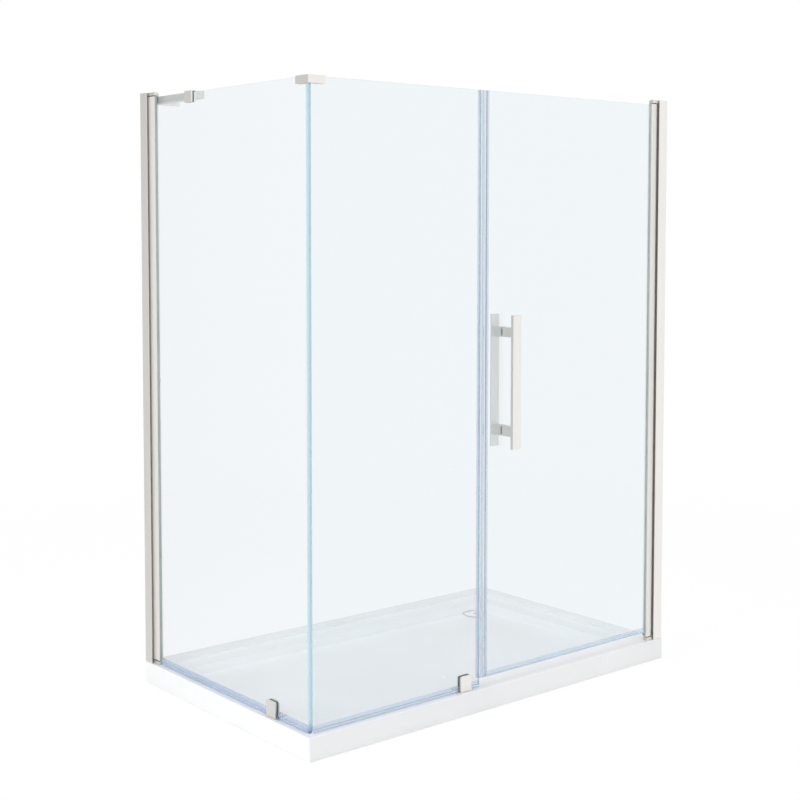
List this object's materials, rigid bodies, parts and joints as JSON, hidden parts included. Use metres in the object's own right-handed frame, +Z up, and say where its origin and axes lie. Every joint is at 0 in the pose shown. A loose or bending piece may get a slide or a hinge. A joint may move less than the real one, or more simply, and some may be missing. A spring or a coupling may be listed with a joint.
{
  "type": "corner shower with pivot door",
  "caption": "Corner shower with a pivot glass door, a fixed front panel, a return panel, satin nickel wall profiles and hardware, and a low white tray.",
  "frame": {"origin": "the middle of the tray's 1524 x 914.4 mm footprint, on the floor", "axes": "+Z up; +X right along the front, from the return panel to the door's hinge side; +Y from the door towards the back wall"},
  "size_m": [1.524, 0.9424, 1.9325],
  "materials": {
    "acrylic": "gloss white",
    "board": "matte",
    "foot_plastic": "matte",
    "drain_plastic": "gloss white",
    "rubber": "matte",
    "grey_gasket": "matte",
    "extrusion": "satin nickel",
    "cap_plastic": "satin nickel",
    "hardware": "satin nickel",
    "steel": "plain",
    "glass": "clear tempered",
    "clear_seal": "clear, slightly blue",
    "bearing": "natural white"
  },
  "bodies": {
    "enclosure": {"tray_shell": "acrylic", "tray_stiffener_board": "board", "tray_feet": "foot_plastic", "drain_body": "drain_plastic", "drain_gasket": "rubber", "drain_lock_nut": "foot_plastic", "return_wall_profile": "extrusion", "return_glazing_profile": "extrusion", "return_glazing_gasket": "grey_gasket", "return_top_cap": "cap_plastic", "return_bottom_cap": "cap_plastic", "door_wall_profile": "extrusion", "door_jamb_insert": "extrusion", "door_jamb_seal": "grey_gasket", "top_pivot_block": "cap_plastic", "top_pivot_pin": "steel", "bottom_pivot_block": "cap_plastic", "bottom_pivot_pin": "steel", "profile_lock_screws": "steel", "profile_screw_caps": "cap_plastic", "return_glass": "glass", "front_glass": "glass", "return_bottom_seal": "clear_seal", "front_bottom_seal": "clear_seal", "front_strike_seal": "clear_seal", "corner_seal": "clear_seal", "corner_bracket": "hardware", "corner_bracket_grub_screws": "steel", "corner_bracket_pads": "rubber", "return_clamp_plate": "hardware", "return_clamp_liner": "rubber", "return_clamp_bracket": "hardware", "front_clamp_plate": "hardware", "front_clamp_liner": "rubber", "front_clamp_bracket": "hardware", "floor_clamp_bolts": "steel", "floor_clamp_screws": "steel", "support_bar": "hardware", "support_bar_end_cap": "cap_plastic", "support_bar_collar": "rubber", "support_wall_bracket": "hardware", "support_clamp_plate": "hardware", "support_clamp_gasket": "rubber", "support_clamp_block": "hardware", "support_clamp_bolt": "steel"},
    "door": {"door_glass": "glass", "door_hinge_profile": "extrusion", "door_glazing_gasket": "grey_gasket", "door_pivot_bushes": "bearing", "door_strike_seal": "clear_seal", "door_sweep": "clear_seal", "door_thrust_washer": "bearing", "handle_outer": "hardware", "handle_inner": "hardware", "handle_gaskets": "grey_gasket", "handle_studs": "steel", "handle_grub_screws": "steel"},
    "drain_grate": {"drain_cover": "drain_plastic"}
  },
  "joints": [
    {"name": "door_pivot", "type": "hinge", "parent": "enclosure", "child": "door", "pos_m": [0.712, -0.4312, 0], "axis": [0, 0, 1], "range_deg": [0, 90]},
    {"name": "drain_cover_lift", "type": "slide", "parent": "enclosure", "child": "drain_grate", "axis": [0, 0, 1], "range_m": [0, 0.15]}
  ]
}
